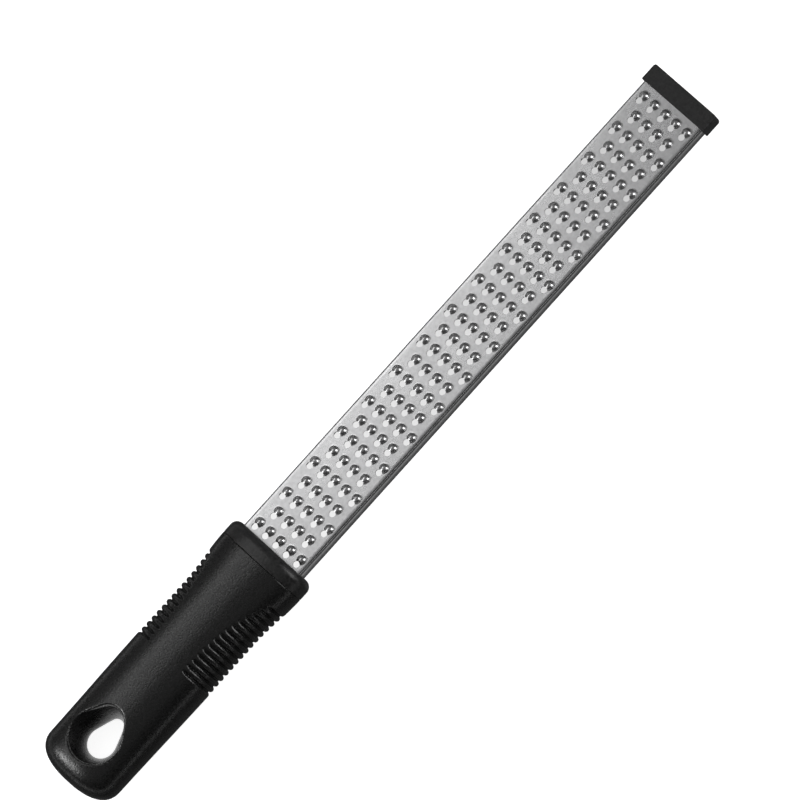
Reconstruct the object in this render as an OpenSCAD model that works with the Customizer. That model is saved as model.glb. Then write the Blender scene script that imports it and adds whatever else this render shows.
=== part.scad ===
/* [Blade] */
// Length from the front of the handle to the end of the tip cap
blade_l = 200; // [150:1:240]
// Width over the two folded sides
blade_w = 26; // [24:0.1:27]
// Height of the folded sides, from the blade's top down
flange_h = 5.6; // [5:0.1:6.5]
// Thickness of the steel sheet
sheet_t = 0.4; // [0.3:0.05:0.5]
// Outer radius of the two folds
fold_r = 0.8; // [0.7:0.05:1.5]
// Height of the blade's top above the middle of the handle
blade_rise = 3.5; // [3:0.1:3.8]

/* [Teeth] */
// Distance between two rows of teeth, along the blade
row_pitch = 6.63; // [6.2:0.01:8]
// Number of teeth across in the wider rows
teeth_across = 5; // [3:1:5]
// Distance from the blade's side to the outermost teeth
tooth_edge = 3.3; // [3.2:0.05:4]
// Distance from the handle to the first hole's centre
first_hole = 1.8; // [1.6:0.1:4]
// Least distance from the last hole's centre to the tip cap
last_hole = 5.6; // [4.4:0.1:8]
// Diameter of the round hole in front of a tooth
hole_d = 2.3; // [1.8:0.05:2.4]
// Diameter of a tooth's raised dome at its base
dome_d = 3.2; // [2.8:0.05:3.3]
// Height of a tooth's dome above the sheet
dome_h = 1.1; // [0.9:0.05:1.2]
// Thickness of the steel in a dome
dome_wall = 0.3; // [0.24:0.01:0.36]
// Distance from the hole's centre to the dome's centre
tooth_reach = 2.2; // [2:0.05:2.3]
// Angle of each tooth to the blade's length, in degrees
tooth_slant = 9; // [0:1:12]

/* [Tang] */
// Length of the tang inside the core
tang_l = 56; // [45:1:58]
// Width of the tang
tang_w = 16; // [13:0.5:18]
// Diameter of the two peg holes in the tang
peg_hole_d = 5; // [4:0.1:6]
// Distance between the two peg holes
peg_pitch = 26; // [20:1:32]
// Distance from the tang's end to the peg hole next to it
peg_end = 9; // [7:0.5:12]

/* [Handle] */
// Length of the handle
handle_l = 100; // [96:1:125]
// Width near the rear end
rear_w = 30.3; // [29.8:0.1:32]
// Width over the fins
grip_w = 30.8; // [30.4:0.1:34]
// Width at the flared front
front_w = 33.6; // [33:0.1:36]
// Thickness near the rear end
rear_t = 18.8; // [18:0.1:20]
// Greatest thickness, under the palm
grip_t = 22.8; // [22:0.1:24]
// Thickness at the front
front_t = 22.2; // [20.6:0.1:22.6]
// Length of the rounding at the rear end
rear_round = 9; // [8:0.5:11]
// Radius of the rounding round the front face
front_round = 2.9; // [2:0.1:4]
// Depth of the flat on the underside
land_depth = 0.7; // [0.5:0.05:0.8]

/* [Grip sleeve] */
// Thickness of the soft grip at its rear sides
wall_side = 3.4; // [3.2:0.1:4]
// Thickness of the soft grip at its rear top and bottom
wall_top = 2.9; // [2.6:0.1:3.4]
// Thickness of the soft grip at the rear end
wall_rear = 4.4; // [4:0.1:5]

/* [Fins] */
// Number of grooves on each side
fin_count = 15; // [8:1:15]
// Distance between two grooves
fin_pitch = 2.4; // [2:0.05:2.5]
// Width of a groove at the surface
fin_gap = 1.1; // [0.8:0.05:1.3]
// Depth of a groove at the side
fin_depth = 1; // [0.8:0.05:1.6]
// Distance from the handle's front to the foremost groove
fins_front = 14.4; // [13:0.1:17]
// Distance from the middle to the rear grooves' inner ends
fins_inner = 7.4; // [6:0.1:9]
// Distance from the middle to the foremost groove's inner end
fins_outer = 13.4; // [12.5:0.1:14.5]

/* [Hanging hole] */
// Distance from the handle's rear end to the rim of the hole
rim_gap = 7.9; // [7.5:0.1:9.5]
// Length of the rim
rim_l = 21; // [20:0.1:23]
// Width of the rim at its rear
rim_w = 18.2; // [17:0.1:18.6]
// Width of the rim at its front
rim_front_w = 11.6; // [10:0.1:13]
// Length of the throat half way down
throat_l = 14.8; // [13:0.1:16]
// Width of the throat at its rear
throat_w = 10.3; // [9:0.1:11.5]
// Width of the throat at its front
throat_front_w = 6.6; // [5:0.1:8]
// Distance from the rear of the rim to the rear of the throat
throat_inset = 3.6; // [2.8:0.1:4.2]

/* [Front collar] */
// Length of the hard collar at the front
collar_l = 6.1; // [5:0.1:7]
// Depth of the crease between the collar and the grip
crease = 0.35; // [0.2:0.05:0.5]

/* [Tip cap] */
// Length of the cap
cap_l = 6.6; // [5.5:0.1:9]
// Thickness of the cap beside the blade
cap_wall = 1.2; // [0.9:0.05:1.6]
// Thickness of the cap above the blade
cap_top = 0.6; // [0.5:0.05:1]
// Thickness of the cap at the end of the blade
cap_end = 1.6; // [1.2:0.1:2]
// Radius of the cap's long edges
cap_edge_r = 0.8; // [0.4:0.05:1]
// Radius of the cap's two far corners
cap_corner_r = 1.2; // [0.6:0.1:2]

/* [Hidden] */
$fn = 48;

// Gap between hard pieces that fit into one another
fit_gap = 0.05;
// How far a cut runs past the face that it opens
overrun = 1;
// Diameter by which the core's hole is larger than the rim
core_hole_gap = 0.9;
// Radius of the core's long edges
core_edge_r = 4;
// Radius of the core's rear corners
core_corner_r = 8;
// How far the pegs reach into the upper core
peg_reach = 1.6;
// Width, height and length of the spigot between the core and the collar
spigot_w = 11;
spigot_h = 3.2;
spigot_l = 3.4;
// Roof left between the spigot and the blade
spigot_roof = 1.4;
// Width of a groove's floor, as a share of its width at the surface
groove_floor_share = 0.4;
// Distance over which a groove runs out at its inner end
groove_runout = 2.6;
// How fast the grooves' inner ends move outwards towards the front
fin_curve = 2.6;
// Squareness of the handle's section, and of its rear end
section_power = 2.5;
rear_power = 2.45;
// Turn of the rear rounding at which its flat end starts, in degrees
rear_turn = 80;
// How fast the hanging hole opens from its throat to its rim
flare_power = 1.5;
// Length of the flare in front of the fins
flare_l = 21;
// Distance from the collar to the end of the flare
flare_end = 0.6;
// Distance from the handle's front to its thickest place
thickest = 46;
// Rings and sides of the handle's surface
rear_rings = 8;
plain_rings = 6;
front_rings = 4;
round_rings = 6;
sides = 36;
// Heights and sides of the hanging hole's surface
hole_levels = 12;
egg_half = 16;

handle_rear = -(handle_l + blade_l) / 2;
handle_front = handle_rear + handle_l;
blade_end = handle_front + blade_l;
collar_rear = handle_front - collar_l;
handle_z = grip_t / 2 - land_depth;
blade_top = handle_z + blade_rise;
sheet_under = blade_top - sheet_t;
flange_bottom = blade_top - flange_h;
core_w = rear_w - 2 * wall_side;
core_t = rear_t - 2 * wall_top;
core_rear = handle_rear + wall_rear;
cap_rear = blade_end - cap_l;
tang_rear = collar_rear - tang_l;
rim_rear = handle_rear + rim_gap;
// Height above the middle at which the hole is as wide as its rim
rim_height = rear_t / 2 * pow(1 - pow(rim_w / rear_w, section_power), 1 / section_power);
fins_first = handle_front - fins_front - (fin_count - 1) * fin_pitch;

// Rows and columns of teeth
rows = 2 * floor((blade_l - cap_l - first_hole - last_hole) / (2 * row_pitch)) + 1;
tooth_pitch = (blade_w - 2 * tooth_edge) / (teeth_across - 1);
teeth = [
    for (row = [0 : rows - 1])
        let (across = teeth_across - row % 2)
        for (column = [0 : across - 1])
            [handle_front + first_hole + row * row_pitch, (column - (across - 1) / 2) * tooth_pitch]
];
// A dome is part of a sphere whose centre lies below the sheet's top
dome_r = (pow(dome_d / 2, 2) + pow(dome_h, 2)) / (2 * dome_h);
dome_centre = blade_top + dome_h - dome_r;

// Rises smoothly from 0 to 1 while u goes from 0 to 1
function ease(u) = let (v = min(max(u, 0), 1)) v * v * (3 - 2 * v);

// Half the width and half the thickness of the handle at one place along it
function half_w(x) =
    rear_w / 2
    + (grip_w - rear_w) / 2 * ease((x - handle_rear - rear_round) / (handle_l - thickest - rear_round))
    + (front_w - grip_w) / 2 * ease((x - collar_rear - flare_end + flare_l) / flare_l);
function half_t(x) =
    rear_t / 2
    + (grip_t - rear_t) / 2 * ease((x - handle_rear) / (handle_l - thickest))
    - (grip_t - front_t) / 2 * ease((x - handle_front + thickest) / thickest);

// A ring of the handle's surface: place along it, half width, half thickness,
// depth of the groove there and the groove's inner end
function plain_ring(x, inset = 0) = [x, half_w(x) - inset, half_t(x) - inset, 0, 0];
function groove_ring(x, number) =
    let (share = number / max(fin_count - 1, 1))
    [x, half_w(x), half_t(x), fin_depth, fins_inner + (fins_outer - fins_inner) * pow(share, fin_curve)];
function rear_ring(turn) =
    let (x = handle_rear + rear_round * (1 - pow(sin(turn) / sin(rear_turn), 2 / rear_power)),
         scale_here = pow(cos(turn), 2 / rear_power))
    [x, half_w(x) * scale_here, half_t(x) * scale_here, 0, 0];

// Distance from the ring's middle to its outline in one direction
function reach(ring, turn) =
    let (full = pow(pow(abs(cos(turn)) / ring[1], section_power)
                  + pow(abs(sin(turn)) / ring[2], section_power), -1 / section_power),
         past = (abs(cos(turn)) * full - ring[4]) / groove_runout)
    full - ring[3] * min(max(past, 0), 1);
function ring_points(ring) = [
    for (side = [0 : sides - 1])
        let (turn = 360 * side / sides, out = reach(ring, turn))
        [ring[0], out * cos(turn), handle_z + out * sin(turn)]
];

sleeve_rings = concat(
    [for (step = [0 : rear_rings - 1]) rear_ring(rear_turn * (1 - step / rear_rings))],
    [for (step = [0 : plain_rings])
        plain_ring(handle_rear + rear_round
            + (fins_first - fin_pitch - handle_rear - rear_round) * step / plain_rings)],
    [for (groove = [0 : fin_count - 1], edge = [-1, 1], inner = [edge < 0 ? 0 : 1, edge < 0 ? 1 : 0])
        let (x = fins_first + groove * fin_pitch
                 + edge * fin_gap / 2 * (inner == 1 ? groove_floor_share : 1))
        inner == 1 ? groove_ring(x, groove) : plain_ring(x)],
    [for (step = [1 : front_rings])
        plain_ring(handle_front - fins_front + (fins_front - collar_l - crease) * step / front_rings)],
    [plain_ring(collar_rear, crease)]
);
collar_rings = concat(
    [plain_ring(collar_rear, crease), plain_ring(collar_rear + crease)],
    [for (step = [0 : round_rings])
        let (turn = 90 * step / round_rings)
        plain_ring(handle_front - front_round * (1 - sin(turn)), front_round * (1 - cos(turn)))]
);

// A closed skin through a list of rings that have as many points each
module skin(rings_of_points) {
    count = len(rings_of_points[0]);
    last = len(rings_of_points) - 1;
    polyhedron(
        points = [for (ring = rings_of_points) each ring],
        faces = concat(
            [[for (side = [0 : count - 1]) side]],
            [for (ring = [0 : last - 1], side = [0 : count - 1])
                let (a = ring * count + side, b = ring * count + (side + 1) % count)
                each [[a, a + count, b], [b, a + count, b + count]]],
            [[for (side = [count - 1 : -1 : 0]) last * count + side]]
        )
    );
}

// Outline of a hole with a wide round rear and a narrow round front
function egg_turn(l, rear_d, front_d) = acos((rear_d - front_d) / 2 / (l - (rear_d + front_d) / 2));
function egg_points(x, l, rear_d, front_d) =
    let (turn = egg_turn(l, rear_d, front_d))
    concat(
        [for (step = [0 : egg_half])
            let (a = turn * (2 * step / egg_half - 1))
            [x + l - front_d / 2 + front_d / 2 * cos(a), front_d / 2 * sin(a)]],
        [for (step = [0 : egg_half])
            let (a = turn + (360 - 2 * turn) * step / egg_half)
            [x + rear_d / 2 + rear_d / 2 * cos(a), rear_d / 2 * sin(a)]]
    );
module egg(x, l, rear_d, front_d) {
    turn = egg_turn(l, rear_d, front_d);
    rear_x = x + rear_d / 2;
    front_x = x + l - front_d / 2;
    translate([rear_x, 0])
        circle(d = rear_d);
    translate([front_x, 0])
        circle(d = front_d);
    polygon([
        for (side = [-1, 1], end = [side, -side])
            end > 0
                ? [rear_x + rear_d / 2 * cos(turn), side * rear_d / 2 * sin(turn)]
                : [front_x + front_d / 2 * cos(turn), side * front_d / 2 * sin(turn)]
    ]);
}

// The space of the hanging hole, narrow at the throat and open above and below
module hanging_hole() {
    skin([
        for (level = [0 : 2 * hole_levels])
            let (h = (level / hole_levels - 1) * (grip_t / 2 + overrun),
                 open = pow(min(abs(h) / rim_height, 1), flare_power))
            [for (p = egg_points(rim_rear + throat_inset * (1 - open),
                    throat_l + (rim_l - throat_l) * open,
                    throat_w + (rim_w - throat_w) * open,
                    throat_front_w + (rim_front_w - throat_front_w) * open))
                [p[0], p[1], handle_z + h]]
    ]);
}

// An outline in y and z, drawn from rear_x forwards over a length
module along_x(rear_x, l) {
    translate([rear_x, 0, 0])
        rotate([90, 0, 90])
            linear_extrude(height = l)
                children();
}

// A plate's outline with rounded top corners, its top at a height
module arched(w, top, bottom, r) {
    translate([-w / 2, bottom])
        square([w, top - r - bottom]);
    translate([-w / 2 + r, bottom])
        square([w - 2 * r, top - bottom]);
    for (side = [-1, 1])
        translate([side * (w / 2 - r), top - r])
            circle(r = r);
}

// The blade's folded section, grown by a gap on every face
module channel(gap = 0) {
    difference() {
        arched(blade_w + 2 * gap, blade_top + gap, flange_bottom - gap, fold_r + gap);
        arched(blade_w - 2 * sheet_t - 2 * gap, sheet_under - gap, flange_bottom - gap - overrun,
            fold_r - sheet_t - gap);
    }
}

// The tang's outline from above, grown by a gap
module tang_outline(gap = 0) {
    end_x = tang_rear - gap;
    w = tang_w + 2 * gap;
    corner = tang_w / 4;
    translate([end_x + corner, -w / 2])
        square([collar_rear + collar_l / 2 - end_x - corner, w]);
    translate([end_x, -w / 2 + corner])
        square([2 * corner, w - 2 * corner]);
    for (side = [-1, 1])
        translate([end_x + corner, side * (w / 2 - corner)])
            circle(r = corner);
}

module peg_places() {
    for (x = [tang_rear + peg_end, tang_rear + peg_end + peg_pitch])
        translate([x, 0, 0])
            children();
}

module at_each_tooth(forward = 0) {
    for (tooth = teeth)
        translate([tooth[0], tooth[1], 0])
            rotate([0, 0, -tooth_slant])
                translate([forward, 0, 0])
                    children();
}

module rasp_blade() {
    color("silver")
        difference() {
            union() {
                along_x(collar_rear + fit_gap, blade_end - cap_end - fit_gap - collar_rear - fit_gap)
                    channel();
                translate([0, 0, sheet_under])
                    linear_extrude(height = sheet_t)
                        tang_outline();
                intersection() {
                    at_each_tooth(tooth_reach)
                        translate([0, 0, dome_centre])
                            sphere(r = dome_r);
                    translate([handle_front, -blade_w / 2, blade_top - sheet_t / 2])
                        cube([blade_l, blade_w, dome_h + sheet_t]);
                }
            }
            at_each_tooth(tooth_reach)
                translate([0, 0, dome_centre])
                    sphere(r = dome_r - dome_wall);
            at_each_tooth()
                translate([0, 0, sheet_under - overrun])
                    cylinder(d = hole_d, h = sheet_t + dome_h + 2 * overrun);
            peg_places()
                translate([0, 0, sheet_under - overrun])
                    cylinder(d = peg_hole_d, h = sheet_t + 2 * overrun);
        }
}

module tip_cap() {
    w = blade_w + 2 * cap_wall;
    color("black")
        difference() {
            intersection() {
                along_x(cap_rear, cap_l)
                    arched(w, blade_top + cap_top, flange_bottom, cap_edge_r);
                translate([0, 0, flange_bottom])
                    linear_extrude(height = flange_h + cap_top) {
                        translate([cap_rear, -w / 2])
                            square([cap_l - cap_corner_r, w]);
                        translate([cap_rear, -w / 2 + cap_corner_r])
                            square([cap_l, w - 2 * cap_corner_r]);
                        for (side = [-1, 1])
                            translate([blade_end - cap_corner_r, side * (w / 2 - cap_corner_r)])
                                circle(r = cap_corner_r);
                    }
            }
            along_x(cap_rear - overrun, cap_l + overrun - cap_end)
                channel(fit_gap);
        }
}

module spigot(gap = 0) {
    translate([collar_rear - overrun, -spigot_w / 2 - gap, sheet_under - spigot_roof - spigot_h - gap])
        cube([spigot_l + overrun + gap, spigot_w + 2 * gap, spigot_h + 2 * gap]);
}

// The space below the flat on which the handle rests
module below_land() {
    translate([handle_rear, -front_w, -land_depth - overrun])
        cube([handle_l, 2 * front_w, land_depth + overrun]);
}

module front_collar() {
    color("dimgray")
        difference() {
            skin([for (ring = collar_rings) ring_points(ring)]);
            below_land();
            along_x(collar_rear - overrun, collar_l + 2 * overrun)
                channel(fit_gap);
            translate([collar_rear - overrun, -tang_w / 2 - fit_gap, sheet_under - fit_gap])
                cube([collar_l / 2, tang_w + 2 * fit_gap, sheet_t + 2 * fit_gap]);
            spigot(fit_gap);
        }
}

// The core's outer shape, with the wide opening round the hanging hole
module core_shape(front_run = 0) {
    l = collar_rear - core_rear + front_run;
    difference() {
        intersection() {
            along_x(core_rear, l)
                translate([0, handle_z])
                    for (lower = [0, 1])
                        mirror([0, lower])
                            arched(core_w, core_t / 2, 0, core_edge_r);
            translate([0, 0, handle_z - core_t / 2])
                linear_extrude(height = core_t) {
                    translate([core_rear + core_corner_r, -core_w / 2])
                        square([l - core_corner_r, core_w]);
                    translate([core_rear, -core_w / 2 + core_corner_r])
                        square([2 * core_corner_r, core_w - 2 * core_corner_r]);
                    for (side = [-1, 1])
                        translate([core_rear + core_corner_r, side * (core_w / 2 - core_corner_r)])
                            circle(r = core_corner_r);
                }
        }
        translate([0, 0, handle_z - core_t / 2 - overrun])
            linear_extrude(height = core_t + 2 * overrun)
                egg(rim_rear - core_hole_gap / 2, rim_l + core_hole_gap,
                    rim_w + core_hole_gap, rim_front_w + core_hole_gap);
    }
}

// One half of the space round the core, split at the tang's underside
module core_half(bottom, top) {
    translate([core_rear - overrun, -core_w, bottom])
        cube([collar_rear - core_rear + 2 * overrun, 2 * core_w, top - bottom]);
}

module core_lower() {
    color("darkslategray") {
        intersection() {
            core_shape();
            core_half(handle_z - core_t, sheet_under);
        }
        spigot();
        peg_places()
            translate([0, 0, sheet_under - peg_reach])
                cylinder(d = peg_hole_d - 2 * fit_gap, h = sheet_t + 2 * peg_reach);
    }
}

module core_upper() {
    color("slategray")
        difference() {
            intersection() {
                core_shape();
                core_half(sheet_under, handle_z + core_t);
            }
            translate([0, 0, sheet_under - overrun])
                linear_extrude(height = sheet_t + fit_gap + overrun)
                    tang_outline(fit_gap);
            peg_places()
                translate([0, 0, sheet_under - overrun])
                    cylinder(d = peg_hole_d, h = overrun + sheet_t + peg_reach + fit_gap);
        }
}

module grip_sleeve() {
    color("#202020")
        difference() {
            skin([for (ring = sleeve_rings) ring_points(ring)]);
            core_shape(overrun);
            hanging_hole();
            below_land();
        }
}

rasp_blade();
tip_cap();
front_collar();
core_lower();
core_upper();
grip_sleeve();
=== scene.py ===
import math

import bpy
import numpy as np
from mathutils import Matrix, Vector


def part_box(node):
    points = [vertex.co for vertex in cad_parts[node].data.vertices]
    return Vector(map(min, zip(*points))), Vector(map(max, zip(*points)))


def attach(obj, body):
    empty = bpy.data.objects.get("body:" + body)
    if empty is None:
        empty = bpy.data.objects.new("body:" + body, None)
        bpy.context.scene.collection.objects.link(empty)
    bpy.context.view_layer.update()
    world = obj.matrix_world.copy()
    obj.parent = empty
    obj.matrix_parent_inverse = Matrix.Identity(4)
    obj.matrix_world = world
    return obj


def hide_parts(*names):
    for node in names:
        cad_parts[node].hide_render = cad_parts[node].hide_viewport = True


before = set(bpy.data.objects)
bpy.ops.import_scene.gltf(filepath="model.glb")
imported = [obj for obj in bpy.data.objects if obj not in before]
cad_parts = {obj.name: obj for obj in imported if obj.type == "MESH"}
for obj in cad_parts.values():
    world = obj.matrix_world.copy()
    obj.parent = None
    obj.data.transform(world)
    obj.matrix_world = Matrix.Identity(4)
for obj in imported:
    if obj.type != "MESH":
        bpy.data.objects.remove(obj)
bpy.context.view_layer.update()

# All sizes below are in millimetres; pieces are made in metres.
MM = 0.001
# Keeps a length that something is divided by away from zero.
TINY = 1e-9


def span(node):
    """The lowest and highest corner of a CAD node, in millimetres."""
    low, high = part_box(node)
    return np.array(low) / MM, np.array(high) / MM


sleeve_low, sleeve_high = span("grip_sleeve")
collar_high = span("front_collar")[1]
blade_low, blade_high = span("rasp_blade")
cap_low, cap_high = span("tip_cap")

# Blade
DOME_H, DOME_D, DOME_WALL, DOME_FILLET = 1.1, 3.2, 0.3, 0.25
HOLE_D, TOOTH_REACH, TOOTH_SLANT = 2.3, 2.2, math.radians(9)
SHEET_T, FOLD_R = 0.4, 0.8
BLADE_W = blade_high[1] - blade_low[1]
BLADE_TOP = blade_high[2] - DOME_H
FLANGE_BOTTOM = blade_low[2]
ROW_PITCH, ROWS, TEETH_ACROSS, TOOTH_EDGE, FIRST_HOLE = 6.63, 29, 5, 3.3, 1.8
TOOTH_PITCH = (BLADE_W - 2 * TOOTH_EDGE) / (TEETH_ACROSS - 1)
TANG_L, TANG_W, PEG_HOLE_D, PEG_PITCH, PEG_END = 56, 16, 5, 26, 9

# Handle
HANDLE_REAR, COLLAR_REAR, HANDLE_FRONT = sleeve_low[0], sleeve_high[0], collar_high[0]
REAR_W, GRIP_W, FRONT_W = 30.3, 30.8, 33.6
REAR_T, GRIP_T, FRONT_T = 18.8, 22.8, 22.2
HANDLE_Z = sleeve_high[2] - GRIP_T / 2
REAR_ROUND, FRONT_ROUND, THICKEST = 9, 2.9, 46
FLARE_L, FLARE_END, CREASE_R = 21, 0.6, 0.3
SECTION_POWER, REAR_POWER = 2.5, 2.45
WALL_SIDE, WALL_TOP, WALL_REAR = 3.4, 2.9, 4.4
CORE_EDGE_R, CORE_CORNER_R, CORE_HOLE_GAP = 4, 8, 0.9
LAND_EDGE_R, INNER_EDGE_R, CUT_EDGE_R = 0.2, 0.1, 0.05

# Fins
FIN_COUNT, FIN_PITCH, FIN_DEPTH = 15, 2.4, 1
FINS_FRONT, FINS_INNER, FINS_OUTER, FIN_CURVE, FIN_RUNOUT = 14.4, 7.4, 13.4, 2.6, 1.8
FIN_FLOOR, RIB_POWER = 0.18, 1.9
FINS_FIRST = HANDLE_FRONT - FINS_FRONT - (FIN_COUNT - 1) * FIN_PITCH

# Hanging hole
RIM_GAP, RIM_L, RIM_W, RIM_FRONT_W = 7.9, 21, 18.2, 11.6
THROAT_L, THROAT_W, THROAT_FRONT_W, THROAT_INSET = 14.8, 10.3, 6.6, 3.6
FLARE_POWER, RIM_ROUND = 1.5, 0.6
RIM_HEIGHT = REAR_T / 2 * (1 - (RIM_W / REAR_W) ** SECTION_POWER) ** (1 / SECTION_POWER)

# Tip cap
CAP_TOP, CAP_END, CAP_EDGE_R, CAP_CORNER_R = 0.6, 1.6, 0.8, 1.2
CAP_FRONT_R, CAP_REAR_R = 0.35, 0.15
FIT_GAP, OPEN_PAST = 0.05, 2
SPIGOT_W, SPIGOT_H, SPIGOT_L, SPIGOT_ROOF = 11, 3.2, 3.4, 1.4


# Fields: a distance in millimetres, below zero inside the shape

def ease(u):
    """Rises smoothly from 0 to 1 while u goes from 0 to 1."""
    v = np.clip(u, 0, 1)
    return v * v * (3 - 2 * v)


def both(a, b, r=0.0):
    """The space inside both shapes, its edge rounded with radius r."""
    return np.minimum(np.maximum(a, b), -r) + np.hypot(np.maximum(a + r, 0), np.maximum(b + r, 0))


def rect_field(u, v, low, high, r=0.0):
    """A flat rectangle with rounded corners."""
    middle, half = (np.array(low) + high) / 2, (np.array(high) - low) / 2 - r
    a, b = np.abs(u - middle[0]) - half[0], np.abs(v - middle[1]) - half[1]
    return np.hypot(np.maximum(a, 0), np.maximum(b, 0)) + np.minimum(np.maximum(a, b), 0) - r


def half_width(x):
    """Half the handle's width at a place along it."""
    rise = ease((x - HANDLE_REAR - REAR_ROUND) / (HANDLE_FRONT - HANDLE_REAR - THICKEST - REAR_ROUND))
    flare = ease((x - COLLAR_REAR - FLARE_END + FLARE_L) / FLARE_L)
    return (REAR_W + (GRIP_W - REAR_W) * rise + (FRONT_W - GRIP_W) * flare) / 2


def half_thickness(x):
    """Half the handle's thickness at a place along it."""
    rise = ease((x - HANDLE_REAR) / (HANDLE_FRONT - HANDLE_REAR - THICKEST))
    fall = ease((x - HANDLE_FRONT + THICKEST) / THICKEST)
    return (REAR_T + (GRIP_T - REAR_T) * rise - (GRIP_T - FRONT_T) * fall) / 2


def handle_share(x, y, z):
    """How far out a place is in the handle's section: 1 on its surface."""
    u, v = np.abs(y) / half_width(x), np.abs(z - HANDLE_Z) / half_thickness(x)
    return (u**SECTION_POWER + v**SECTION_POWER) ** (1 / SECTION_POWER) + TINY


def handle_field(x, y, z):
    """The handle with its rounded rear end, and the flat that it rests on."""
    a, b, w = half_width(x), half_thickness(x), handle_share(x, y, z)
    rear = np.maximum(HANDLE_REAR + REAR_ROUND - x, 0) / REAR_ROUND
    whole = (w**REAR_POWER + rear**REAR_POWER) ** (1 / REAR_POWER)
    steep = SECTION_POWER - 1
    across = np.hypot((np.abs(y) / a / w) ** steep / a, (np.abs(z - HANDLE_Z) / b / w) ** steep / b)
    slope = np.hypot((w / whole) ** (REAR_POWER - 1) * across,
                     (rear / whole) ** (REAR_POWER - 1) / REAR_ROUND)
    return both((whole - 1) / slope, -z, LAND_EDGE_R)


def fin_depth(x, y, z):
    """Depth of the grooves between the fins."""
    number = np.clip(np.round((x - FINS_FIRST) / FIN_PITCH), 0, FIN_COUNT - 1)
    off = np.abs(x - FINS_FIRST - number * FIN_PITCH)
    rib = np.clip(1 - (off - FIN_FLOOR) / (FIN_PITCH / 2 - FIN_FLOOR), 0, 1)
    inner = FINS_INNER + (FINS_OUTER - FINS_INNER) * (number / (FIN_COUNT - 1)) ** FIN_CURVE
    past = (np.abs(y) / handle_share(x, y, z) - inner) / FIN_RUNOUT
    return FIN_DEPTH * (1 - (1 - rib**RIB_POWER) ** (1 / RIB_POWER)) * ease(past)


def egg_field(x, y, rear_x, length, rear_d, front_d):
    """A hole's outline with a wide round rear and a narrow round front."""
    r, s = rear_d / 2, front_d / 2
    run = length - r - s
    lean = (r - s) / run
    straight = np.sqrt(1 - lean**2)
    u, v = x - rear_x - r, np.abs(y)
    along = straight * u - lean * v
    side = straight * v + lean * u - r
    return np.where(along < 0, np.hypot(u, v) - r,
                    np.where(along > straight * run, np.hypot(u - run, v) - s, side))


def hole_field(x, y, z):
    """The space of the hanging hole, narrow at the throat and open above and below."""
    height = np.minimum(np.abs(z - HANDLE_Z) / RIM_HEIGHT, 1)
    opened = height**FLARE_POWER
    flat = egg_field(x, y, HANDLE_REAR + RIM_GAP + THROAT_INSET * (1 - opened),
                     THROAT_L + (RIM_L - THROAT_L) * opened,
                     THROAT_W + (RIM_W - THROAT_W) * opened,
                     THROAT_FRONT_W + (RIM_FRONT_W - THROAT_FRONT_W) * opened)
    slope = (RIM_W - THROAT_W) / 2 * FLARE_POWER * height ** (FLARE_POWER - 1) / RIM_HEIGHT
    slope = np.where(height < 1, slope, 0)
    return flat / np.hypot(1, slope)


def core_field(x, y, z):
    """The space of the core inside the sleeve."""
    half_w, half_t = REAR_W / 2 - WALL_SIDE, REAR_T / 2 - WALL_TOP
    section = rect_field(y, z, (-half_w, HANDLE_Z - half_t), (half_w, HANDLE_Z + half_t), CORE_EDGE_R)
    plan = rect_field(x, y, (HANDLE_REAR + WALL_REAR, -half_w), (HANDLE_FRONT, half_w), CORE_CORNER_R)
    opening = egg_field(x, y, HANDLE_REAR + RIM_GAP - CORE_HOLE_GAP / 2, RIM_L + CORE_HOLE_GAP,
                        RIM_W + CORE_HOLE_GAP, RIM_FRONT_W + CORE_HOLE_GAP)
    return np.maximum(np.maximum(section, plan), -opening)


def sleeve_field(x, y, z):
    """The soft grip with its fins and the hanging hole."""
    outside = handle_field(x, y, z) + fin_depth(x, y, z)
    outside = both(outside, x - COLLAR_REAR, CREASE_R)
    outside = both(outside, -hole_field(x, y, z), RIM_ROUND)
    return both(outside, -core_field(x, y, z), INNER_EDGE_R)


def arch_field(y, z, half, top, r, bottom):
    """A flat arch with rounded upper corners, open downwards as far as bottom."""
    return np.maximum(rect_field(y, z, (-half, 2 * bottom - top), (half, top), r), bottom - z)


def channel_field(y, z, gap):
    """The blade's folded section, grown by a gap."""
    outer = arch_field(y, z, BLADE_W / 2 + gap, BLADE_TOP + gap, FOLD_R + gap, FLANGE_BOTTOM - gap)
    inner = arch_field(y, z, BLADE_W / 2 - SHEET_T - gap, BLADE_TOP - SHEET_T - gap,
                       FOLD_R - SHEET_T - gap, FLANGE_BOTTOM - OPEN_PAST)
    return np.maximum(outer, -inner)


def slot_field(x, y, z, width, low, high):
    """The space for a tongue that reaches into the collar from behind."""
    half = width / 2 + FIT_GAP
    section = rect_field(y, z, (-half, low - FIT_GAP), (half, high + FIT_GAP))
    return np.maximum(section, x - COLLAR_REAR - SPIGOT_L)


def collar_field(x, y, z):
    """The hard band in front of the crease, cut for the blade, its tang and the core's spigot."""
    outside = both(handle_field(x, y, z), x - HANDLE_FRONT, FRONT_ROUND)
    outside = both(outside, COLLAR_REAR - x, CREASE_R)
    under = BLADE_TOP - SHEET_T
    roof = under - SPIGOT_ROOF
    tang_slot = slot_field(x, y, z, TANG_W, under, BLADE_TOP)
    spigot_slot = slot_field(x, y, z, SPIGOT_W, roof - SPIGOT_H, roof)
    cut = np.minimum(np.minimum(tang_slot, spigot_slot), channel_field(y, z, FIT_GAP))
    return both(outside, -cut, CUT_EDGE_R)


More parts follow.
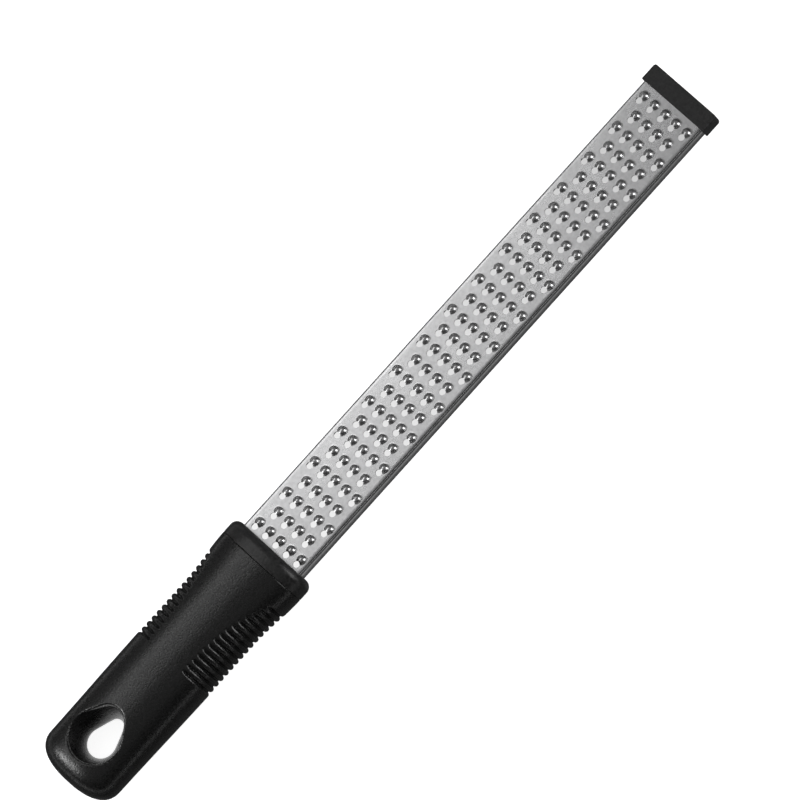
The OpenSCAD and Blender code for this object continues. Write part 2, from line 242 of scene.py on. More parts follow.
def cap_field(x, y, z):
    """The cap, with the space that takes the blade's end."""
    half, top = cap_high[1], BLADE_TOP + CAP_TOP
    section = arch_field(y, z, half, top, CAP_EDGE_R, FLANGE_BOTTOM)
    plan = rect_field(x, y, (2 * cap_low[0] - cap_high[0], -half), (cap_high[0], half), CAP_CORNER_R)
    outside = both(both(section, plan, CAP_FRONT_R), cap_low[0] - x, CAP_REAR_R)
    cut = both(channel_field(y, z, FIT_GAP), x - cap_high[0] + CAP_END)
    return both(outside, -cut, CUT_EDGE_R)


# Meshes from fields

def crossing_quads(inside, number):
    """Quads that join the points of the cells round each grid line that the surface cuts."""
    quads = []
    for axis in range(3):
        within, cells = np.moveaxis(inside, axis, 0), np.moveaxis(number, axis, 0)
        below, above = within[:-1, 1:-1, 1:-1], within[1:, 1:-1, 1:-1]
        i, j, k = np.nonzero(below != above)
        corners = (cells[i, j, k], cells[i, j + 1, k], cells[i, j + 1, k + 1], cells[i, j, k + 1])
        quad = np.stack(corners, 1)
        backwards = below[i, j, k] == (axis == 1)
        quad[backwards] = quad[backwards, ::-1]
        quads.append(quad)
    return np.concatenate(quads)


def field_mesh(field, xs, ys, zs, smoothings=2):
    """Points and quads of a field's surface, one point in each cell that it crosses."""
    inside = field(*np.meshgrid(xs, ys, zs, indexing="ij")) < 0
    count = sum(inside[i:i - 1 or None, j:j - 1 or None, k:k - 1 or None].astype(np.int8)
                for i in (0, 1) for j in (0, 1) for k in (0, 1))
    crossed = np.nonzero((count > 0) & (count < 8))
    number = np.full(count.shape, -1)
    number[crossed] = np.arange(len(crossed[0]))
    points = np.stack([((a[1:] + a[:-1]) / 2)[c] for a, c in zip((xs, ys, zs), crossed)], 1)
    quads = crossing_quads(inside, number)
    points = to_surface(field, points)
    for _ in range(smoothings):
        points = to_surface(field, evened(points, quads))
    return points, quads


def to_surface(field, points, rounds=4, step=0.01, limit=0.15, least=0.1):
    """Moves points on to the surface where a field is zero."""
    for _ in range(rounds):
        slope = np.stack([(field(*(points + d).T) - field(*(points - d).T)) / (2 * step)
                          for d in np.eye(3) * step], 1)
        move = field(*points.T)[:, None] * slope / np.maximum((slope**2).sum(1), least)[:, None]
        points = points - np.clip(move, -limit, limit)
    return points


def evened(points, quads):
    """Moves each point half way to the middle of its neighbours."""
    ends = np.concatenate([quads[:, [a, (a + 1) % 4]] for a in range(4)])
    near = np.stack([np.bincount(ends[:, 0], points[ends[:, 1], c], len(points)) for c in range(3)], 1)
    near /= np.maximum(np.bincount(ends[:, 0], minlength=len(points)), 1)[:, None]
    return (points + near) / 2


def piece(node, points, faces, material, smooth_angle=35):
    """A Blender object made of a mesh in millimetres, which stands for a CAD node."""
    mesh = bpy.data.meshes.new(node + "_detail")
    mesh.from_pydata((np.asarray(points) * MM).tolist(), [], [tuple(f) for f in faces])
    mesh.update()
    mesh.polygons.foreach_set("use_smooth", np.ones(len(mesh.polygons), bool))
    mesh.set_sharp_from_angle(angle=math.radians(smooth_angle))
    mesh.materials.append(material)
    obj = bpy.data.objects.new(node + "_detail", mesh)
    bpy.context.collection.objects.link(obj)
    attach(obj, "root")
    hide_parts(node)
    return obj


# The blade, made of cells: one round each tooth

CELL_ACROSS, CELL_ALONG, CELL_LEAD = 4, 12, 1.9
END_POINTS, TANG_POINTS, FOLD_POINTS, WALL_POINTS = 4, 25, 6, 4
HOLE_SHARES = (0, 0.13, 0.3, 0.5, 0.7, 0.84, 0.93, 1)
UNDER_SHARES = (0, 0.35, 0.7, 1)
BORDER_SHARE = 0.4
FOOT_MARGIN, HOLE_MARGIN, PEG_HOLE_MARGIN = 0.05, 0.25, 1
OUTLINE_REACH, OUTLINE_POINTS = 4, 401
WELD_DIGITS, STATION_DIGITS = 4, 6
DOME_R = ((DOME_D / 2) ** 2 + DOME_H**2) / (2 * DOME_H)
DOME_AT = TOOTH_REACH * np.array([math.cos(TOOTH_SLANT), -math.sin(TOOTH_SLANT)])
FLAT_EDGE = BLADE_W / 2 - FOLD_R
UNDER = BLADE_TOP - SHEET_T
BLADE_REAR, BLADE_FRONT = COLLAR_REAR + FIT_GAP, cap_high[0] - CAP_END - FIT_GAP


def stations(*runs):
    """Places along a line through runs of (start, end, number of steps)."""
    starts = [np.linspace(a, b, steps, endpoint=False) for a, b, steps in runs]
    return np.concatenate(starts + [[runs[-1][1]]])


def across_stations():
    """Places across the flat sheet, the same for every row of teeth."""
    outer = (TEETH_ACROSS - 1) / 2 * TOOTH_PITCH
    inner_steps = CELL_ACROSS * 2 * (TEETH_ACROSS - 1)
    return stations((-FLAT_EDGE, -outer, CELL_ACROSS), (-outer, outer, inner_steps),
                    (outer, FLAT_EDGE, CELL_ACROSS))


def dome_profile(d, radius, depth, fillet):
    """Height of a dome over its sheet: a sphere whose centre lies below it, with a rounded foot."""
    foot = math.sqrt((radius + fillet) ** 2 - (fillet + depth) ** 2)
    joint = foot * radius / (radius + fillet)
    ball = np.sqrt(np.maximum(radius**2 - d**2, 0)) - depth
    bend = fillet - np.sqrt(np.maximum(fillet**2 - (foot - np.minimum(d, foot)) ** 2, 0))
    return np.where(d < joint, ball, np.where(d < foot, bend, 0))


def top_height(flat):
    """Height of the steel's top at places measured from a tooth's hole."""
    d = np.hypot(*(flat - DOME_AT).T)
    return BLADE_TOP + dome_profile(d, DOME_R, DOME_R - DOME_H, DOME_FILLET)


def under_height(flat):
    """Height of the steel's underside at places measured from a tooth's hole."""
    d = np.hypot(*(flat - DOME_AT).T)
    return UNDER + dome_profile(d, DOME_R - DOME_WALL, DOME_R - DOME_H - SHEET_T, DOME_FILLET)


def flat_top(flat):
    """Height of the top where the steel is flat."""
    return np.full(len(flat), BLADE_TOP)


def flat_under(flat):
    """Height of the underside where the steel is flat."""
    return np.full(len(flat), UNDER)


def border_points(xs, ys):
    """Points round a rectangle that has stations along its sides."""
    low_x, high_x, low_y, high_y = xs[0], xs[-1], ys[0], ys[-1]
    sides = ((xs[:-1], low_y), (high_x, ys[:-1]), (xs[:0:-1], high_y), (low_x, ys[:0:-1]))
    return np.concatenate([np.stack(np.broadcast_arrays(x, y), 1) for x, y in sides])


def tooth_outline(border):
    """Where lines from the middle of a tooth to its border leave the tooth's outline."""
    foot = math.sqrt((DOME_R + DOME_FILLET) ** 2 - (DOME_FILLET + DOME_R - DOME_H) ** 2) + FOOT_MARGIN
    rim = HOLE_D / 2 + HOLE_MARGIN
    start = DOME_AT / 2
    steps = np.linspace(0, OUTLINE_REACH, OUTLINE_POINTS)[:, None]
    ends = np.zeros_like(border)
    for at, direction in enumerate((border - start) / np.hypot(*(border - start).T)[:, None]):
        line = start + steps * direction
        share = np.clip(line @ DOME_AT / TOOTH_REACH**2, 0, 1)
        inside = np.hypot(*(line - share[:, None] * DOME_AT).T) < rim + (foot - rim) * share
        ends[at] = line[np.nonzero(inside)[0][-1]]
    return ends


def strips(numbers):
    """Quads between the neighbouring rows and columns of a table of point numbers."""
    quads = np.stack([numbers[:-1, :-1], numbers[1:, :-1], numbers[1:, 1:], numbers[:-1, 1:]], -1)
    return quads.reshape(-1, 4)


def holed_cell(border, edge, hole_r, top, under):
    """A part of the sheet with a round hole in it. It is measured from the hole's middle."""
    turn = np.arctan2(edge[:, 1], edge[:, 0])
    hole = hole_r * np.stack([np.cos(turn), np.sin(turn)], 1)
    upper = [border, edge + (border - edge) * BORDER_SHARE]
    upper += [hole + (edge - hole) * s for s in HOLE_SHARES[::-1]]
    lower = [hole + (edge - hole) * s for s in UNDER_SHARES] + [border]
    rings = [np.column_stack([ring, top(ring)]) for ring in upper]
    rings += [np.column_stack([ring, under(ring)]) for ring in lower]
    numbers = np.arange(len(rings) * len(border)).reshape(len(rings), -1)
    first, second = numbers[:-1], numbers[1:]
    quads = np.stack([first, np.roll(first, -1, 1), np.roll(second, -1, 1), second], -1)
    return np.concatenate(rings), quads.reshape(-1, 4)


def tooth(x, y, xs, ys):
    """The cell of the tooth whose hole is at x, y."""
    border = border_points(xs - x, ys - y)
    points, quads = holed_cell(border, tooth_outline(border), HOLE_D / 2, top_height, under_height)
    return points + (x, y, 0), quads


def flat_part(xs, ys):
    """A flat part of the sheet, its top and its underside."""
    x, y = (v.ravel() for v in np.meshgrid(xs, ys, indexing="ij"))
    quads = strips(np.arange(x.size).reshape(len(xs), len(ys)))
    points = np.concatenate([np.column_stack([x, y, np.full(x.size, z)]) for z in (BLADE_TOP, UNDER)])
    return points, np.concatenate([quads, quads[:, ::-1] + x.size])


def folded_side(xs, side):
    """The fold and the wall along one side of the blade."""
    turns = np.linspace(0, math.pi / 2, FOLD_POINTS)
    walls = np.linspace(BLADE_TOP - FOLD_R, FLANGE_BOTTOM, WALL_POINTS)[1:]

    def face(r):
        bend = np.stack([FLAT_EDGE + r * np.sin(turns), BLADE_TOP - FOLD_R + r * np.cos(turns)], 1)
        return np.concatenate([bend, np.stack([np.full(len(walls), FLAT_EDGE + r), walls], 1)])

    line = np.concatenate([face(FOLD_R), face(FOLD_R - SHEET_T)[::-1]]) * (side, 1)
    points = np.concatenate([np.column_stack([np.full(len(line), x), line]) for x in xs])
    numbers = np.arange(len(points)).reshape(len(xs), len(line))
    quads = strips(numbers)
    ends = [numbers[0].tolist(), numbers[-1, ::-1].tolist()]
    if side < 0:
        quads, ends = quads[:, ::-1], [end[::-1] for end in ends]
    return points, quads.tolist() + ends


def with_round_rear(border, rear, corner):
    """Moves the points at a border's two rear corners on to arcs."""
    inner = np.array([rear + corner, TANG_W / 2 - corner])
    past = np.column_stack([border[:, 0], np.abs(border[:, 1])]) - inner
    past = np.column_stack([np.minimum(past[:, 0], 0), np.maximum(past[:, 1], 0)])
    length = np.maximum(np.hypot(*past.T), TINY)
    arc = inner + past / length[:, None] * corner
    arc[:, 1] *= np.sign(border[:, 1])
    beyond = (past[:, 0] < 0) & (past[:, 1] > 0)
    return np.where(beyond[:, None], arc, border)


def tang(ys):
    """The plate inside the handle, with its two peg holes."""
    parts, rear = [], COLLAR_REAR - TANG_L
    middles = [rear + PEG_END, rear + PEG_END + PEG_PITCH]
    ends = [rear, rear + PEG_END + PEG_PITCH / 2, rear + PEG_END + PEG_PITCH * 1.5]
    for middle, low, high in zip(middles, ends, ends[1:]):
        border = border_points(np.linspace(low, high, TANG_POINTS) - middle, ys)
        if low == rear:
            border = with_round_rear(border, low - middle, TANG_W / 4)
        edge = border / np.hypot(*border.T)[:, None] * (PEG_HOLE_D / 2 + PEG_HOLE_MARGIN)
        points, quads = holed_cell(border, edge, PEG_HOLE_D / 2, flat_top, flat_under)
        parts.append((points + (middle, 0, 0), quads))
    parts.append(flat_part(np.array([ends[-1], BLADE_REAR]), ys))
    return parts


def welded(parts):
    """One mesh from several, with points at the same place made one."""
    points = np.concatenate([p for p, _ in parts])
    starts = np.cumsum([0] + [len(p) for p, _ in parts])
    places = np.round(points, WELD_DIGITS)
    _, first, merged = np.unique(places, axis=0, return_index=True, return_inverse=True)
    merged = merged.ravel()
    faces = [tuple(merged[np.array(face) + start].tolist())
             for (_, group), start in zip(parts, starts) for face in group]
    return points[first], faces


def with_edge_walls(points, faces):
    """Closes the gap between the sheet's top and underside along each open edge."""
    used = dict.fromkeys((a, b) for face in faces for a, b in zip(face, face[1:] + face[:1]))
    place = {tuple(np.round(p, WELD_DIGITS)): number for number, p in enumerate(points)}
    upper = points[:, 2] > UNDER + SHEET_T / 2
    walls = []
    for a, b in used:
        if (b, a) not in used and upper[a] and upper[b]:
            low_a, low_b = (place[tuple(np.round((*points[n, :2], UNDER), WELD_DIGITS))] for n in (a, b))
            walls.append((b, a, low_a, low_b))
    return points, faces + walls


def row_x(row):
    """Where the holes of a row of teeth are along the blade."""
    return HANDLE_FRONT + FIRST_HOLE + row * ROW_PITCH


def row_parts(row, xs, ys):
    """The cells of one row of teeth, and the flat parts beside a short row."""
    across = TEETH_ACROSS - row % 2
    parts = []
    for column in range(across):
        y = (column - (across - 1) / 2) * TOOTH_PITCH
        middle = np.argmin(np.abs(ys - y))
        cell_ys = ys[middle - CELL_ACROSS:middle + CELL_ACROSS + 1]
        parts.append(tooth(row_x(row), y, xs, cell_ys))
    if row % 2:
        parts += [flat_part(xs, ys[:CELL_ACROSS + 1]), flat_part(xs, ys[-CELL_ACROSS - 1:])]
    return parts


def blade_mesh():
    """Points and faces of the whole blade, from its tang to its front end."""
    ys, parts = across_stations(), []
    edges = [np.linspace(BLADE_REAR, row_x(0) - CELL_LEAD, END_POINTS)]
    for row in range(ROWS):
        low = row_x(row) - CELL_LEAD
        edges.append(np.linspace(low, low + ROW_PITCH, CELL_ALONG + 1))
        parts += row_parts(row, edges[-1], ys)
    edges.append(np.linspace(edges[-1][-1], BLADE_FRONT, END_POINTS))
    rear_points, rear_faces = flat_part(edges[0], ys)
    inner = ys[np.abs(ys) < TANG_W / 2]
    widening = TANG_W / 2 / inner[-1]
    at_tang = (rear_points[:, 0] == BLADE_REAR) & (np.abs(rear_points[:, 1]) < TANG_W / 2)
    rear_points[at_tang, 1] *= widening
    parts += [(rear_points, rear_faces), flat_part(edges[-1], ys)]
    parts += tang(inner * widening)
    xs = np.unique(np.round(np.concatenate(edges), STATION_DIGITS))
    parts += [folded_side(xs, side) for side in (-1, 1)]
    return with_edge_walls(*welded(parts))


# Materials

def grey(value):
    """A colour without a hue."""
    return (value, value, value)


def new_material(name, colour, roughness, metallic=0.0, specular=0.5):
    """A material and its nodes: the tree, its shader and its object coordinates."""
    made = bpy.data.materials.new(name)
    made.use_nodes = True
    tree = made.node_tree
    shader = tree.nodes["Principled BSDF"]
    shader.inputs["Base Color"].default_value = (*colour, 1)
    shader.inputs["Roughness"].default_value = roughness
    shader.inputs["Metallic"].default_value = metallic
    shader.inputs["Specular IOR Level"].default_value = specular
    coordinates = tree.nodes.new("ShaderNodeTexCoord").outputs["Object"]
    return made, tree, shader, coordinates


def noise(tree, coordinates, size_mm, detail=2.0, stretch=(1, 1, 1)):
    """Noise whose lumps have a size in millimetres."""
    mapping = tree.nodes.new("ShaderNodeMapping")
    mapping.inputs["Scale"].default_value = [1 / (size_mm * MM) / s for s in stretch]
    tree.links.new(coordinates, mapping.inputs["Vector"])
    texture = tree.nodes.new("ShaderNodeTexNoise")
    texture.inputs["Scale"].default_value = 1
    texture.inputs["Detail"].default_value = detail
    tree.links.new(mapping.outputs["Vector"], texture.inputs["Vector"])
    return texture.outputs["Fac"]


def spread(tree, fac, low, high, start=0.3, end=0.7):
    """Takes a noise value to a range of numbers."""
    node = tree.nodes.new("ShaderNodeMapRange")
    for name, value in (("From Min", start), ("From Max", end), ("To Min", low), ("To Max", high)):
        node.inputs[name].default_value = value
    tree.links.new(fac, node.inputs["Value"])
    return node.outputs["Result"]


def shade(tree, fac, dark, light, start=0.3, end=0.7):
    """Takes a noise value to a colour between two."""
    node = tree.nodes.new("ShaderNodeValToRGB")
    node.color_ramp.elements[0].position, node.color_ramp.elements[1].position = start, end
    node.color_ramp.elements[0].color, node.color_ramp.elements[1].color = (*dark, 1), (*light, 1)
    tree.links.new(fac, node.inputs["Fac"])
    return node.outputs["Color"]


def bump(tree, shader, *layers):
    """Adds small relief to a shader from pairs of height and depth in millimetres."""
    normal = None
    for height, depth_mm in layers:
        node = tree.nodes.new("ShaderNodeBump")
        node.inputs["Distance"].default_value = depth_mm * MM
        tree.links.new(height, node.inputs["Height"])
        if normal:
            tree.links.new(normal, node.inputs["Normal"])
        normal = node.outputs["Normal"]
    tree.links.new(normal, shader.inputs["Normal"])


def rubber():
    """Black rubber with a satin shine and a fine grain."""
    made, tree, shader, at = new_material("soft_grip", grey(0.01), roughness=0.4, specular=0.55)
    grain, fine_grain = noise(tree, at, size_mm=0.65), noise(tree, at, size_mm=0.2)
    tree.links.new(shade(tree, grain, grey(0.002), grey(0.006)), shader.inputs["Base Color"])
    tree.links.new(spread(tree, grain, 0.24, 0.35), shader.inputs["Roughness"])
    bump(tree, shader, (grain, 0.08), (fine_grain, 0.01))
    return made


def hard_plastic(name, dark, light, rough_low, rough_high, mottle_mm):
    """Hard plastic whose colour and shine are mottled."""
    made, tree, shader, at = new_material(name, light, rough_high)
    mottle, grain = noise(tree, at, mottle_mm, detail=3), noise(tree, at, size_mm=0.3)
    tree.links.new(shade(tree, mottle, dark, light), shader.inputs["Base Color"])
    tree.links.new(spread(tree, mottle, rough_low, rough_high), shader.inputs["Roughness"])
    bump(tree, shader, (mottle, 0.1), (grain, 0.03))
    return made


def steel(name, rough_low, rough_high):
    """Stainless steel with fine lines along it, a fine grain and faint smudges."""
    made, tree, shader, at = new_material(name, (0.58, 0.58, 0.585), rough_high, metallic=1.0)
    lines, grain = noise(tree, at, size_mm=0.15, stretch=(60, 1, 1)), noise(tree, at, size_mm=0.4)
    smudge, mottle = noise(tree, at, size_mm=14, detail=4), noise(tree, at, size_mm=1.2, detail=3)
    colour = shade(tree, mottle, dark=(0.53, 0.53, 0.535), light=(0.62, 0.62, 0.625))
    tree.links.new(colour, shader.inputs["Base Color"])
    tree.links.new(spread(tree, smudge, rough_low, rough_high), shader.inputs["Roughness"])
    bump(tree, shader, (lines, 0.001), (grain, 0.002))
    return made


# The studio, in metres, but for the cards' places and the camera's, which are in millimetres

FLOOR_Z, CARD_Z, AIM_Z = -0.0004, -0.0002, 0.014

# The cards' edges: how far they are from the middle line, or past the hanging hole and the tip
CARD_NEAR, CARD_SLIT, CARD_SIDE, CARD_WIDE, CARD_LONG = 17.3, 18.6, 21, 160, 260
CARD_HOLE_HALF, CARD_HOLE_PAST, CARD_TIP_GAP = 11, 8, 5
# Edges of the card under the blade, a painted shadow seen through the blade's holes
SHADOW_CARD_RIGHT, SHADOW_CARD_LEFT, SHADOW_CARD_TIP_GAP = -9.3, 17.6, 1

# How strongly the cards glow at their low and high end along the tool, and their colour. The dark cards
# are painted shade and the slit cards a painted reflection, both met only by mirrored rays; the card
# under the blade is a painted shadow.
CARD_COLOUR, SHADE_CARD_GLOW, REFLECTION_SLIT_GLOW, SHADOW_CARD_GLOW = 0.02, (0.07, 0.07), (0.4, 0.3), (0.88, 0.56)


def seen_or_mirrored(tree):
    """1 for rays from the camera and for mirrored or refracted ones, 0 for the light on the object."""
    path = tree.nodes.new("ShaderNodeLightPath")
    total = path.outputs["Is Camera Ray"]
    for name in ("Is Glossy Ray", "Is Transmission Ray"):
        node = tree.nodes.new("ShaderNodeMath")
        node.operation = "MAXIMUM"
        tree.links.new(total, node.inputs[0])
        tree.links.new(path.outputs[name], node.inputs[1])
        total = node.outputs[0]
    return total


def white_world(light):
    """A world that looks white and lights the object with a strength of its own."""
    world = bpy.data.worlds.new("studio")
    bpy.context.scene.world = world
    world.use_nodes = True
    tree = world.node_tree
    background = tree.nodes["Background"]
    strength = spread(tree, seen_or_mirrored(tree), light, 1, start=0, end=1)
    tree.links.new(strength, background.inputs["Strength"])
    background.inputs["Color"].default_value = (*grey(1), 1)


def stage_rectangle(name, box, z):
    """A flat stage piece under the tool. Its box is low and high x, then low and high y."""
    low_x, high_x, low_y, high_y = box
    corners = [(low_x, low_y, z), (high_x, low_y, z), (high_x, high_y, z), (low_x, high_y, z)]
    mesh = bpy.data.meshes.new(name)
    mesh.from_pydata(corners, [], [(0, 1, 2, 3)])
    obj = bpy.data.objects.new(name, mesh)
    bpy.context.collection.objects.link(obj)
    return obj


def glowing(obj, name, colour):
    """Gives a stage piece a dull material that glows. Returns its tree and the glow's socket."""
    made, tree, shader, _ = new_material(name, grey(colour), roughness=1, specular=0)
    shader.inputs["Emission Color"].default_value = (*grey(1), 1)
    obj.data.materials.append(made)
    return tree, shader.inputs["Emission Strength"]


def floor(half=3.0, colour=0.8, glow=0.88):
    """A pale floor that shows white, and a little darker in the object's shadow."""
    obj = stage_rectangle("floor", (-half, half, -half, half), FLOOR_Z)
    tree, strength = glowing(obj, "white_floor", colour)
    tree.links.new(spread(tree, seen_or_mirrored(tree), 0, glow, start=0, end=1), strength)


def card(name, colour, glow, box, rays):
    """A flat glowing card lying on the floor, which only some kinds of ray meet: painted shade, a painted
    reflection or a painted shadow.
    """
    low_x, high_x, low_y, high_y = (v * MM for v in box)
    obj = stage_rectangle(name, (low_x, high_x, low_y, high_y), CARD_Z)
    tree, strength = glowing(obj, name, colour)
    along = tree.nodes.new("ShaderNodeSeparateXYZ")
    tree.links.new(tree.nodes.new("ShaderNodeTexCoord").outputs["Object"], along.inputs[0])
    tree.links.new(spread(tree, along.outputs["X"], *glow, low_x, high_x), strength)
    for kind in ("camera", "diffuse", "glossy", "transmission", "volume_scatter", "shadow"):
        setattr(obj, "visible_" + kind, kind in rays)


def painted_shade_boxes(rim_rear, rim_front, tip):
    """The places of the dark cards, painted shade seen only in reflections: round the tool, beside its
    hanging hole, and under it.
    """
    near, slit, side, wide, far = CARD_NEAR, CARD_SLIT, CARD_SIDE, CARD_WIDE, CARD_LONG
    return [(-far, far, side, wide), (-far, far, -wide, -side),
            (-far, rim_rear, -side, side), (tip, far, -side, side),
            (rim_rear, rim_front, CARD_HOLE_HALF, side), (rim_rear, rim_front, -side, -CARD_HOLE_HALF),
            (rim_front, HANDLE_FRONT, -side, side), (HANDLE_FRONT, tip, slit, side),
            (HANDLE_FRONT, tip, -side, -slit), (HANDLE_FRONT, tip, -near, near)]


def cards():
    """Dark cards that only mirrored rays meet, painted shade of the floor round the tool, with lighter
    slits, a painted reflection in the blade's sides, and a card seen through the blade's holes, a painted
    shadow under the blade.
    """
    rim_rear = HANDLE_REAR + RIM_GAP
    tip = cap_high[0] + CARD_TIP_GAP
    # Dark cards met only by mirrored rays: painted shade, so the floor round the tool is mirrored dark
    for number, box in enumerate(painted_shade_boxes(rim_rear, rim_rear + RIM_L + CARD_HOLE_PAST, tip)):
        card("painted_shade_card_%d" % number, CARD_COLOUR, SHADE_CARD_GLOW, box, ("glossy",))
    # Lighter slits beside the blade, met only by mirrored rays: a painted reflection, a light line in the
    # blade's folded sides
    for number, (low_y, high_y) in enumerate([(-CARD_SLIT, -CARD_NEAR), (CARD_NEAR, CARD_SLIT)]):
        box = (HANDLE_FRONT, tip, low_y, high_y)
        card("painted_reflection_slit_%d" % number, CARD_COLOUR, REFLECTION_SLIT_GLOW, box, ("glossy",))
    # A card that only the camera meets, under the blade: a painted shadow, darker towards the tip, seen
    # through the blade's holes
    box = (HANDLE_FRONT, cap_high[0] - SHADOW_CARD_TIP_GAP, SHADOW_CARD_RIGHT, SHADOW_CARD_LEFT)
    card("painted_shadow_card", 0, SHADOW_CARD_GLOW, box, ("camera",))


def tent(dark=0.05, light=0.2, start=0.35, end=0.7, towards=(0, 0.35, 0.94), radius=3.0):
    """A studio tent, pale behind the tool and dark at the camera's side. The camera looks through it."""
    bpy.ops.mesh.primitive_uv_sphere_add(segments=32, ring_count=16, radius=radius)
    obj = bpy.context.object
    obj.name = "tent"
    tree, strength = glowing(obj, "tent_cloth", 0)
    facing = tree.nodes.new("ShaderNodeVectorMath")
    facing.operation = "DOT_PRODUCT"
    facing.inputs[1].default_value = Vector(towards).normalized() / radius
    tree.links.new(tree.nodes.new("ShaderNodeTexCoord").outputs["Object"], facing.inputs[0])
    tree.links.new(spread(tree, facing.outputs["Value"], dark, light, start, end), strength)
    obj.visible_camera = False


def lamp(name, towards, distance, size, radiance, shift=0.0, mirrored=True, beam=180):
    """A flat lamp aimed at the middle of the tool or at a place shifted along it."""
    data = bpy.data.lights.new(name, "AREA")
    data.shape, data.size, data.size_y = "RECTANGLE", *size
    data.energy = radiance * math.pi * size[0] * size[1]
    data.spread = math.radians(beam)
    obj = bpy.data.objects.new(name, data)
    away = Vector(towards).normalized()
    across = away.cross(Vector((1, 0, 0))).normalized()
    along = across.cross(away)
    obj.rotation_euler = Matrix((along, across, away)).transposed().to_euler()
    obj.location = Vector((shift, 0, AIM_Z)) + away * distance
    obj.visible_camera = False
    obj.visible_glossy = mirrored
    bpy.context.collection.objects.link(obj)


def camera(target, distance, side_tilt, tip_tilt, roll, focal_px, image_px=800, sensor=36.0):
    """A camera above the tool, tilted towards its right side and rolled in the picture."""
    a, b, c = (math.radians(v) for v in (side_tilt, tip_tilt, roll))
    back = Vector((math.sin(b), -math.sin(a) * math.cos(b), math.cos(a) * math.cos(b)))
    across = Vector((0, 1, 0)).cross(back).normalized()
    upward = back.cross(across)
    right = across * math.cos(c) + upward * math.sin(c)
    up = upward * math.cos(c) - across * math.sin(c)
    data = bpy.data.cameras.new("camera")
    data.sensor_width = sensor
    data.lens = focal_px / image_px * sensor
    data.clip_end = 100
    obj = bpy.data.objects.new("camera", data)
    place = Vector(target) * MM + back * distance * MM
    obj.matrix_world = Matrix((
        (right.x, up.x, back.x, place.x),
        (right.y, up.y, back.y, place.y),
        (right.z, up.z, back.z, place.z),
        (0, 0, 0, 1)))
    bpy.context.collection.objects.link(obj)
    bpy.context.scene.camera = obj


# The pieces

# The sleeve's grid spacings, and how far the grid or a finer stretch of it runs past its shape
PLAIN_STEP, LONG_STEP, RIM_STEP, RIM_STEP_ACROSS, FIN_STEP, CREASE_STEP = 0.5, 0.7, 0.34, 0.42, 0.24, 0.16
END_MARGIN, SIDE_MARGIN, RIM_MARGIN, FIN_MARGIN, CREASE_MARGIN = 0.6, 0.7, 1, 1.5, 1

# The same for the collar and the cap, where the grid is finer round the sheet's section
COARSE_STEP, MIDDLE_STEP, FINE_STEP, COLLAR_STEP_ALONG, CAP_STEP_ALONG = 0.3, 0.2, 0.1, 0.25, 0.14
COLLAR_MARGIN, COLLAR_END_MARGIN, SHEET_REACH, FLANGE_REACH = 0.6, 0.5, 1, 0.5
CAP_MARGIN, CAP_SIDE_REACH, CAP_TOP_REACH = 0.4, 0.6, 0.8

# Faces beyond the flat sheet that look this far sideways are the blade's bright sides
SIDE_NORMAL, FOLD_MARGIN = 0.3, 0.01


def grid(*runs):
    """Grid lines through runs of (start, end, spacing)."""
    return stations(*[(a, b, max(int(round((b - a) / step)), 1)) for a, b, step in runs])


def grid_round(low, high, *spots):
    """Grid lines that are finer round each spot, which is a place and a reach."""
    runs, start = [], low
    for place, reach in spots:
        runs.append((start, place - reach, COARSE_STEP))
        runs.append((place - reach, place + reach, FINE_STEP))
        start = place + reach
    return grid(*runs, (start, high, COARSE_STEP))


def make_sleeve():
    half, top = sleeve_high[1] + SIDE_MARGIN, sleeve_high[2] + SIDE_MARGIN
    rim_rear = HANDLE_REAR + RIM_GAP - RIM_MARGIN
    rim_front = HANDLE_REAR + RIM_GAP + RIM_L + RIM_MARGIN
    rim_half = RIM_W / 2 + RIM_MARGIN
    fins_rear, fins_end = FINS_FIRST - FIN_MARGIN, FINS_FIRST + FIN_COUNT * FIN_PITCH
    crease = COLLAR_REAR - CREASE_MARGIN
    xs = grid((HANDLE_REAR - END_MARGIN, rim_rear, PLAIN_STEP), (rim_rear, rim_front, RIM_STEP),
              (rim_front, fins_rear, LONG_STEP), (fins_rear, fins_end, FIN_STEP),
              (fins_end, crease, PLAIN_STEP), (crease, COLLAR_REAR + END_MARGIN, CREASE_STEP))
    ys = grid((-half, -rim_half, PLAIN_STEP), (-rim_half, rim_half, RIM_STEP_ACROSS),
              (rim_half, half, PLAIN_STEP))
    zs = grid((-SIDE_MARGIN, top, PLAIN_STEP))
    points, quads = field_mesh(sleeve_field, xs, ys, zs)
    return piece("grip_sleeve", points, quads.tolist(), rubber())


def make_collar():
    half, top = collar_high[1] + COLLAR_MARGIN, collar_high[2] + COLLAR_MARGIN
    side, under = BLADE_W / 2 - SHEET_T / 2, BLADE_TOP - SHEET_T / 2
    xs = grid((COLLAR_REAR - COLLAR_END_MARGIN, HANDLE_FRONT + COLLAR_END_MARGIN, COLLAR_STEP_ALONG))
    ys = grid_round(-half, half, (-side, SHEET_REACH), (side, SHEET_REACH))
    zs = grid_round(-COLLAR_MARGIN, top, (FLANGE_BOTTOM, FLANGE_REACH), (under, SHEET_REACH))
    points, quads = field_mesh(collar_field, xs, ys, zs)
    material = hard_plastic("matte_collar", dark=grey(0.003), light=grey(0.018),
                            rough_low=0.3, rough_high=0.46, mottle_mm=0.9)
    return piece("front_collar", points, quads.tolist(), material)


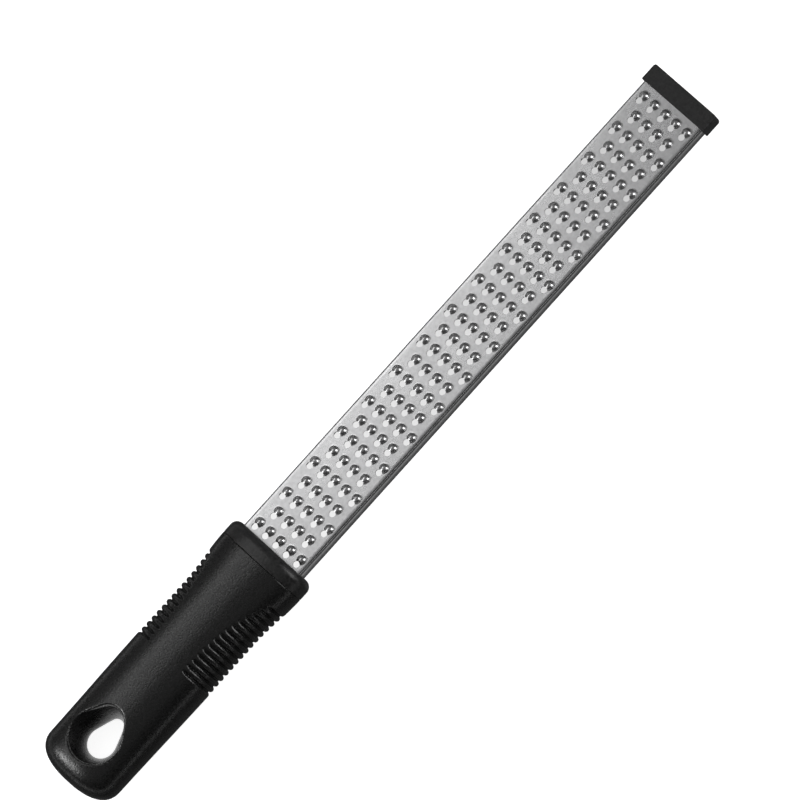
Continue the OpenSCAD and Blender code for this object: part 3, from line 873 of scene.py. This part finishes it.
def make_cap():
    half, top = cap_high[1] + CAP_MARGIN, cap_high[2] + CAP_MARGIN
    inner = BLADE_W / 2 - SHEET_T / 2 - CAP_SIDE_REACH
    under = BLADE_TOP - SHEET_T / 2 - CAP_TOP_REACH
    xs = grid((cap_low[0] - CAP_MARGIN, cap_high[0] + CAP_MARGIN, CAP_STEP_ALONG))
    ys = grid((-half, -inner, FINE_STEP), (-inner, inner, COARSE_STEP), (inner, half, FINE_STEP))
    zs = grid((cap_low[2] - CAP_MARGIN, under, MIDDLE_STEP), (under, top, FINE_STEP))
    points, quads = field_mesh(cap_field, xs, ys, zs)
    material = hard_plastic("matte_cap", dark=grey(0.005), light=grey(0.02),
                            rough_low=0.38, rough_high=0.56, mottle_mm=0.8)
    return piece("tip_cap", points, quads.tolist(), material)


def make_blade():
    points, faces = blade_mesh()
    brushed = steel("brushed_steel", rough_low=0.25, rough_high=0.31)
    made = piece("rasp_blade", points, faces, brushed, smooth_angle=40)
    made.data.materials.append(steel("bright_steel", rough_low=0.1, rough_high=0.14))
    for face in made.data.polygons:
        beyond = abs(face.center.y) > (FLAT_EDGE - FOLD_MARGIN) * MM
        face.material_index = int(abs(face.normal.y) > SIDE_NORMAL and beyond)
    return made


def dress_cores():
    """Gives the two halves of the core their material."""
    material = hard_plastic("core_plastic", dark=(0.04, 0.045, 0.05), light=(0.055, 0.06, 0.065),
                            rough_low=0.45, rough_high=0.6, mottle_mm=3)
    for core in ("core_lower", "core_upper"):
        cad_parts[core].data.materials.clear()
        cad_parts[core].data.materials.append(material)


make_sleeve()
make_collar()
make_cap()
make_blade()
dress_cores()

white_world(light=0.2)
floor()
tent()
cards()
lamp("strip", towards=(0, 0.475, 0.88), distance=0.6, size=(1.5, 0.15), radiance=1.98, shift=-0.595)
lamp("key", towards=(0.67, -0.57, 0.47), distance=1.0, size=(0.5, 0.5), radiance=5)
lamp("rear", towards=(-0.6, 0.45, 0.6), distance=0.35, size=(0.1, 0.1), radiance=1, shift=-0.14, beam=50)
lamp("fill", towards=(0, 0.1, 1), distance=1.5, size=(2, 2), radiance=0.5, mirrored=False)
camera(target=(13.63, 1.65, 14.2), distance=3233.1, side_tilt=20.35, tip_tilt=-0.29, roll=-48.06,
       focal_px=10000)
bpy.context.scene.view_settings.view_transform = "Standard"
